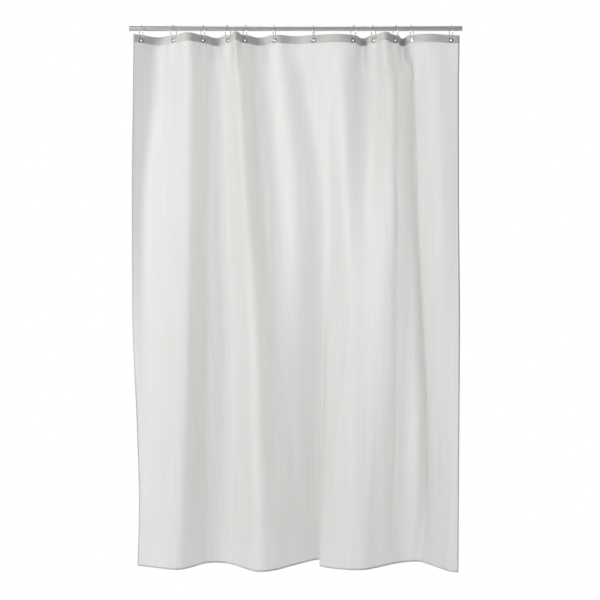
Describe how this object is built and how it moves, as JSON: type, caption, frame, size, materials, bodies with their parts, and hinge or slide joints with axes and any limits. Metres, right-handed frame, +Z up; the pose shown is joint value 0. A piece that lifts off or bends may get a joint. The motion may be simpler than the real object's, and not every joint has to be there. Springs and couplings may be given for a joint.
{
  "type": "shower curtain",
  "caption": "Translucent white fabric shower curtain, part gathered in soft folds, hung by metal eyelets and wire rings from a round metal rod.",
  "frame": {"origin": "the middle of the rod's axis, where the rod holds the curtain up", "axes": "+X along the rod to the viewer's right, -Y towards the room that the curtain faces, +Z up"},
  "size_m": [1.254, 0.2528, 2.0367],
  "materials": {
    "rod_metal": "brushed satin tube",
    "plug_plastic": "moulded matt",
    "ring_steel": "polished wire",
    "eyelet_steel": "pressed, nickel plated",
    "curtain_fabric": "fine woven polyester, lets light through"
  },
  "bodies": {
    "rod": {"rod_tube": "rod_metal", "rod_plug_left": "plug_plastic", "rod_plug_right": "plug_plastic"},
    "hanger_01": {"ring_wire_01": "ring_steel", "eyelet_01": "eyelet_steel", "eyelet_washer_01": "eyelet_steel", "curtain_cloth_01": "curtain_fabric"},
    "hanger_02": {"ring_wire_02": "ring_steel", "eyelet_02": "eyelet_steel", "eyelet_washer_02": "eyelet_steel", "curtain_cloth_02": "curtain_fabric"},
    "hanger_03": {"ring_wire_03": "ring_steel", "eyelet_03": "eyelet_steel", "eyelet_washer_03": "eyelet_steel", "curtain_cloth_03": "curtain_fabric"},
    "hanger_04": {"ring_wire_04": "ring_steel", "eyelet_04": "eyelet_steel", "eyelet_washer_04": "eyelet_steel", "curtain_cloth_04": "curtain_fabric"},
    "hanger_05": {"ring_wire_05": "ring_steel", "eyelet_05": "eyelet_steel", "eyelet_washer_05": "eyelet_steel", "curtain_cloth_05": "curtain_fabric"},
    "hanger_06": {"ring_wire_06": "ring_steel", "eyelet_06": "eyelet_steel", "eyelet_washer_06": "eyelet_steel", "curtain_cloth_06": "curtain_fabric"},
    "hanger_07": {"ring_wire_07": "ring_steel", "eyelet_07": "eyelet_steel", "eyelet_washer_07": "eyelet_steel", "curtain_cloth_07": "curtain_fabric"},
    "hanger_08": {"ring_wire_08": "ring_steel", "eyelet_08": "eyelet_steel", "eyelet_washer_08": "eyelet_steel", "curtain_cloth_08": "curtain_fabric"},
    "hanger_09": {"ring_wire_09": "ring_steel", "eyelet_09": "eyelet_steel", "eyelet_washer_09": "eyelet_steel", "curtain_cloth_09": "curtain_fabric"},
    "hanger_10": {"ring_wire_10": "ring_steel", "eyelet_10": "eyelet_steel", "eyelet_washer_10": "eyelet_steel", "curtain_cloth_10": "curtain_fabric"},
    "hanger_11": {"ring_wire_11": "ring_steel", "eyelet_11": "eyelet_steel", "eyelet_washer_11": "eyelet_steel", "curtain_cloth_11": "curtain_fabric"},
    "hanger_12": {"ring_wire_12": "ring_steel", "eyelet_12": "eyelet_steel", "eyelet_washer_12": "eyelet_steel", "curtain_cloth_12": "curtain_fabric"}
  },
  "joints": [
    {"name": "curtain_swing", "type": "hinge", "parent": "rod", "child": "hanger_01", "pos_m": [-0.5825, 0, 0], "axis": [1, 0, 0], "range_deg": [-20, 20]},
    {"name": "ring_slide_02", "type": "slide", "parent": "hanger_01", "child": "hanger_02", "axis": [1, 0, 0], "range_m": [-0.0737, 0], "deforming": ["curtain_cloth_02"]},
    {"name": "ring_slide_03", "type": "slide", "parent": "hanger_01", "child": "hanger_03", "axis": [1, 0, 0], "range_m": [-0.1399, 0], "deforming": ["curtain_cloth_03"]},
    {"name": "ring_slide_04", "type": "slide", "parent": "hanger_01", "child": "hanger_04", "axis": [1, 0, 0], "range_m": [-0.1969, 0], "deforming": ["curtain_cloth_04"]},
    {"name": "ring_slide_05", "type": "slide", "parent": "hanger_01", "child": "hanger_05", "axis": [1, 0, 0], "range_m": [-0.2352, 0], "deforming": ["curtain_cloth_05"]},
    {"name": "ring_slide_06", "type": "slide", "parent": "hanger_01", "child": "hanger_06", "axis": [1, 0, 0], "range_m": [-0.3017, 0], "deforming": ["curtain_cloth_06"]},
    {"name": "ring_slide_07", "type": "slide", "parent": "hanger_01", "child": "hanger_07", "axis": [1, 0, 0], "range_m": [-0.3903, 0], "deforming": ["curtain_cloth_07"]},
    {"name": "ring_slide_08", "type": "slide", "parent": "hanger_01", "child": "hanger_08", "axis": [1, 0, 0], "range_m": [-0.48, 0], "deforming": ["curtain_cloth_08"]},
    {"name": "ring_slide_09", "type": "slide", "parent": "hanger_01", "child": "hanger_09", "axis": [1, 0, 0], "range_m": [-0.5261, 0], "deforming": ["curtain_cloth_09"]},
    {"name": "ring_slide_10", "type": "slide", "parent": "hanger_01", "child": "hanger_10", "axis": [1, 0, 0], "range_m": [-0.5756, 0], "deforming": ["curtain_cloth_10"]},
    {"name": "ring_slide_11", "type": "slide", "parent": "hanger_01", "child": "hanger_11", "axis": [1, 0, 0], "range_m": [-0.612, 0], "deforming": ["curtain_cloth_11"]},
    {"name": "curtain_draw", "type": "slide", "parent": "hanger_01", "child": "hanger_12", "axis": [1, 0, 0], "range_m": [-0.7003, 0], "deforming": ["curtain_cloth_12", "curtain_cloth_01"]}
  ],
  "couplings": [
    {"joint": "ring_slide_02", "follows": "curtain_draw", "ratio": 0.10454},
    {"joint": "ring_slide_03", "follows": "curtain_draw", "ratio": 0.1991},
    {"joint": "ring_slide_04", "follows": "curtain_draw", "ratio": 0.28044},
    {"joint": "ring_slide_05", "follows": "curtain_draw", "ratio": 0.33509},
    {"joint": "ring_slide_06", "follows": "curtain_draw", "ratio": 0.43006},
    {"joint": "ring_slide_07", "follows": "curtain_draw", "ratio": 0.55659},
    {"joint": "ring_slide_08", "follows": "curtain_draw", "ratio": 0.68473},
    {"joint": "ring_slide_09", "follows": "curtain_draw", "ratio": 0.75056},
    {"joint": "ring_slide_10", "follows": "curtain_draw", "ratio": 0.82126},
    {"joint": "ring_slide_11", "follows": "curtain_draw", "ratio": 0.87321}
  ]
}
